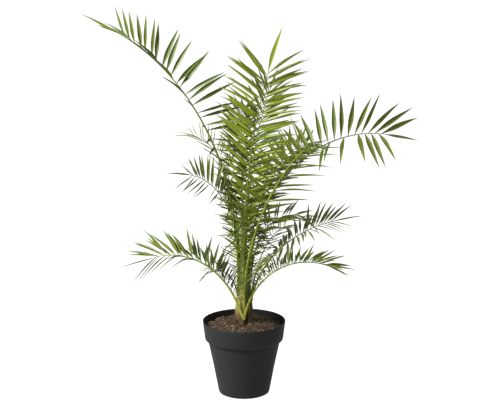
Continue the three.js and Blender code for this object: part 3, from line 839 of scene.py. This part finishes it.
BLADE_STATIONS = np.array([0, 0.06, 0.14, 0.24, 0.36, 0.5, 0.64, 0.77, 0.87, 0.93])
TIP_STATIONS = np.array([0.925, 0.965, 1.0])   # of the dried tip, a piece of its own


def blade_points(leaflets, stations):
    """Four points at each station of each leaflet: edge, upper keel, other edge, lower keel."""
    reach = stations[None, :, None]
    direction = leaflets.direction[:, None, :]
    length = leaflets.length[:, None, None]
    level = UP - direction * (direction @ UP)[..., None]
    middle = (leaflets.root[:, None, :]
              + direction * length * reach
              + level * length * leaflets.bow[:, None, None] * reach * (1 - reach)
              + leaflets.across[:, None, :] * length * leaflets.side_sweep[:, None, None] * reach ** 2
              - UP * LEAFLET_DROOP * length * reach ** 2)
    turn = leaflets.curl[:, None] * stations[None, :]
    axis = np.broadcast_to(direction, middle.shape)
    across = turned(np.broadcast_to(leaflets.across[:, None, :], middle.shape), axis, turn)
    normal = np.cross(axis, across)
    half = (leaflets.width / 2)[:, None] * blade_width(stations)[None, :] + BLADE_EDGE
    fold = np.radians(lerp(FOLD_FOOT, FOLD_TIP, stations))[None, :]
    rise = normal * (half * np.sin(fold))[..., None]
    spread = across * (half * np.cos(fold))[..., None]
    keel = normal * lerp(KEEL_FOOT, KEEL_TIP, stations)[None, :, None]
    return np.stack([middle + spread + rise, middle + keel, middle - spread + rise, middle - keel], 2)


def blade_faces(count, stations):
    """Closed blades: four faces between stations, and one at each end."""
    faces = []
    for station in range(stations - 1):
        for corner in range(4):
            near, far = station * 4, station * 4 + 4
            following = (corner + 1) % 4
            faces.append((near + corner, near + following, far + following, far + corner))
    last = (stations - 1) * 4
    faces += [(3, 2, 1, 0), (last, last + 1, last + 2, last + 3)]
    offsets = (np.arange(count) * stations * 4)[:, None, None]
    return (np.array(faces)[None] + offsets).reshape(-1, 4)


def blade_uvs(leaflets, stations):
    """Real distances across and along each blade, in metres."""
    half = (leaflets.width / 2)[:, None] * blade_width(stations)[None, :]
    along = leaflets.length[:, None] * stations[None, :]
    zero = 0 * half
    return np.stack([np.stack([u, along], -1) for u in (half, zero, -half, zero)], 2).reshape(-1, 2)


def make_blades(name, leaflets, shades, stations=BLADE_STATIONS):
    points = blade_points(leaflets, stations)
    count = len(points)
    faces = blade_faces(count, len(stations))
    per_leaflet = len(faces) // count
    piece = joined_mesh(name, points.reshape(-1, 3), faces, np.repeat(shades, per_leaflet),
                        blade_uvs(leaflets, stations))
    smooth(piece, 32)
    return piece


def terminal_leaflet(midrib, random):
    """The blade that closes the frond, straight on from the midrib."""
    frond = midrib.frond
    tip = np.array([1.0])
    last = Leaflets(midrib, tip, tip, random)
    last.direction, _, across = midrib.directions(tip)
    last.across = turned(across, last.direction, frond["last_turn"])
    last.length = np.array([frond["leaflet"] * frond["last"]])
    last.width = last.width * frond["last_width"]
    last.root = midrib.at(tip - LAST_ROOT / frond["length"])
    return last


def spines(midrib, random):
    """Below the leaflets, a stalk carries thin, curved spines on both sides."""
    frond = midrib.frond
    start = frond["spines"]
    count = int((frond["bare"] - start) * frond["length"] / frond["spacing"])
    share = lerp(start, frond["bare"], (np.arange(count) + random.uniform(0.1, 0.9, count)) / count)
    hand = np.where(np.arange(count) % 2 == 0, 1.0, -1.0)
    found = Leaflets(midrib, share, hand, random, fan=random.uniform(*SPINE_FAN, count))
    found.length = lerp(SPINE_LENGTH, frond["leaflet"] * LAST_SPINE_LENGTH, share / frond["bare"])
    found.length *= random.uniform(*SPINE_STRETCH, count) * frond["spine_stretch"]
    found.width = random.uniform(*SPINE_WIDTH, count)
    found.bow = random.uniform(*SPINE_BOW, count)
    return found


def make_frond(frond, random, tips):
    midrib = Midrib(frond)
    make_midrib(midrib)
    pairs = frond["pairs"]
    pair = np.repeat(np.arange(pairs), 2)
    hand = np.tile([1.0, -1.0], pairs)
    grown = pair * GOLDEN % 1 < by_side(hand, frond["kept"])
    grown |= pair >= pairs - CLOSING_PAIRS
    stagger = by_side(hand, STAGGER)
    fan = np.empty(2 * pairs)
    fan[0::2], fan[1::2] = bunched(random, pairs), bunched(random, pairs)
    fan *= frond["bunching"]
    place = (pair + stagger - BUNCH_PULL * fan) / pairs
    place = np.clip(place, 0, 1) ** frond["crowding"]
    share = lerp(frond["bare"], LAST_LEAFLET, place)
    leaflets = Leaflets(midrib, share[grown], hand[grown], random, fan[grown])
    leaflets.add(terminal_leaflet(midrib, random))
    leaflets.add(spines(midrib, random))
    shades = random.choice(3, len(leaflets.length), p=SHADE_SHARES)
    shades[grown.sum()] = 0   # the closing leaflet gets the palest green of its tone
    piece = make_blades(f"{frond['name']}_leaflets", leaflets, shades)
    greens = LEAFLET_MATERIALS[frond.get("leaf", frond["tone"])]
    dress(piece, greens, frond_nodes(frond))
    tips.append(make_blades(f"{frond['name']}_tips", leaflets, 0 * shades, TIP_STATIONS))


# Stem

def stem_radius(height):
    heights, radii = zip(*STEM_PROFILE)
    return np.interp(height, heights, radii)


def make_stem_core():
    rings = 60
    heights = np.linspace(STEM_PROFILE[0][0], STEM_PROFILE[-1][0], rings + 1)
    core = ring_up("stem_core", 72, [(stem_radius(h), h) for h in heights])
    places = coordinates(core)
    around = np.arctan2(places[:, 1], places[:, 0])
    ridges = [noise.noise(Vector((math.cos(a) * RIDGES_AROUND, math.sin(a) * RIDGES_AROUND,
                                  z / RIDGE_LENGTH)))
              for a, z in zip(around, places[:, 2])]
    filled = lerp(STEM_GAP, 1, ramp(places[:, 2], *STEM_GAP_END))
    size, ridge_height = STEM_RIDGES
    scale = (size + ridge_height * np.array(ridges)) * filled
    places[:, :2] *= scale[:, None]
    lay(core, places)
    smooth(core, 50)
    dress(core, [leaf_sheath("leaf_sheath_core", "8c8a44", "4a4020")], ["stem"])


def leaf_base(name, heading, low, high, widest, lift, midrib=None):
    """One stalk's clasping foot, pressed to the stem, broad below and narrow where the stalk starts."""
    steps = 22
    share = np.linspace(0, 1, steps + 1)
    heights = lerp(low, high, share)
    outward = heading_way(heading)
    sideways = np.cross(UP, outward)
    inset = lerp(-lift, BASE_INSET, share ** 2)
    centres = outward * (stem_radius(heights) - inset)[:, None] + UP * heights[:, None]
    if midrib:
        risen = (heights - midrib.points[0][2]) / midrib.frond["length"]
        joining = ramp(heights, *BASE_JOINING)[:, None]
        centres = lerp(centres, midrib.at(risen), joining * joining * (3 - 2 * joining))
    half_widths = lerp(widest, BASE_TIP_HALF_WIDTH, share ** 0.8) * np.minimum(1, 0.75 + share * 2)
    half_depths = lerp(*BASE_HALF_DEPTHS, share)
    ones = np.ones(steps + 1)[:, None]
    return limb(name, 12, centres, outward * ones, sideways * ones, half_depths, half_widths)


# Which way the clasping feet of these fronds face, where it isn't the way that the stalk stands
BASE_HEADINGS = {"upper_left": 212, "centre_front": 250, "right_arch": 335}
PAINTED_LIGHT_HEADINGS = (150, 280)   # painted light: bases between these headings, on the key light's side, get a paler copy of the sheath colour, and the rest a darker copy as painted shade

# The cut-off bases of old leaves round the stem's foot, seven alike and a small one in front:
# heading, foot, top, half width, and how far the foot stands off the core
OLD_BASES = [(314 + k * 49.3, 0.209, 0.256 + 0.005 * (k % 3), 0.0122, 0.0022) for k in range(7)]
OLD_BASES.append((262, 0.206, 0.246, 0.0085, 0.0078))


def make_leaf_bases():
    pale, dark = [], []
    for frond in FRONDS:
        around, _, height = frond["foot"]
        if height < CROWN_HEIGHT and frond["name"] != "mid_right":
            continue
        around = BASE_HEADINGS.get(frond["name"], around)
        top = BASE_TOP if height > CROWN_HEIGHT else LOW_BASE_TOP
        base = leaf_base(f"{frond['name']}_base", around, BASE_FOOT, top, BASE_HALF_WIDTH, 0.0,
                         Midrib(frond))
        # Painted light: bases facing the key light get a paler copy of the sheath colours, and the
        # others, mid_right's among them, a darker copy that is painted shade
        painted_lit = PAINTED_LIGHT_HEADINGS[0] < around < PAINTED_LIGHT_HEADINGS[1]
        (pale if painted_lit else dark).append(base)
    brown = [leaf_base(f"old_base_{k}", *sizes) for k, sizes in enumerate(OLD_BASES)]
    for kind, bases, sheath in (
            ("pale", pale, ("leaf_sheath_olive", "e0d67c", "b0a056")),
            ("dark", dark, ("leaf_sheath_shaded", "88884c", "4c4a2a")),
            ("brown", brown, ("leaf_sheath_brown", "7c5e3a", "3a2a18"))):
        piece = join(f"leaf_bases_{kind}", bases)
        smooth(piece, 50)
        dress(piece, [leaf_sheath(*sheath)], ["stem"])


# Setting

WHITE = (1, 1, 1, 1)


def seen_glow(tree, strength):
    """A light that is full white to the camera and weaker to the plant, as round a cut-out photo."""
    seen = add_node(tree, "ShaderNodeLightPath").outputs["Is Camera Ray"]
    return ranged(tree, seen, To_Min=strength, To_Max=1.0)


def make_setting():
    bpy.ops.mesh.primitive_plane_add(size=30, location=(0, 0, 0))
    floor = bpy.context.object
    floor.name = floor.data.name = "studio_floor"
    # Frosted acrylic lit from below: an even white with a faint cloudiness
    material, tree, shader = new_material("lit_acrylic_table", Roughness=0.6)
    cloudiness = pattern(tree, object_place(tree), 0.3, detail=3)
    paint(tree, shader, cloudiness, "7c7c7b", "818180")
    shader.inputs["Emission Color"].default_value = WHITE
    tree.links.new(seen_glow(tree, 0.24), shader.inputs["Emission Strength"])
    floor.data.materials.append(material)

    world = bpy.data.worlds.new("white_studio")
    bpy.context.scene.world = world
    world.use_nodes = True
    sky = world.node_tree
    background = sky.nodes["Background"]
    background.inputs["Color"].default_value = WHITE
    sky.links.new(seen_glow(sky, 0.38), background.inputs["Strength"])

    for name, place, size, power in (
            ("key_softbox", (-2.7, -1.2, 2.8), 1.2, 205),
            ("fill_softbox", (2.3, -2.4, 1.6), 2.0, 1)):
        lamp = bpy.data.lights.new(name, "AREA")
        lamp.size = size
        lamp.energy = power
        stand = placed(name, lamp)
        stand.location = place
        stand.rotation_euler = (Vector((0, 0, 0.5)) - Vector(place)).to_track_quat("-Z", "Y").to_euler()

    camera = bpy.data.cameras.new("photo_camera")
    camera.lens = 123.75
    camera.sensor_width = 36
    camera.clip_end = 100
    holder = placed("photo_camera", camera)
    holder.location = (0.01716, -4.78407, 1.67151)
    holder.rotation_euler = (math.radians(90 - 12.903), 0, 0)
    bpy.context.scene.camera = holder
    bpy.context.scene.view_settings.view_transform = "Standard"


make_pot()
make_soil_bed()
make_chips(np.random.default_rng(CHIP_SEED))
make_stem_core()
make_leaf_bases()

leaflet_random = np.random.default_rng(LEAFLET_SEED)
all_tips = []
for one_frond in FRONDS:
    make_frond(one_frond, leaflet_random, all_tips)
dry_tips = join("dry_leaflet_tips", all_tips)
dress(dry_tips, [dried_leaflet("dried_leaflet_tip", "877e5e", "72694c")])

make_setting()
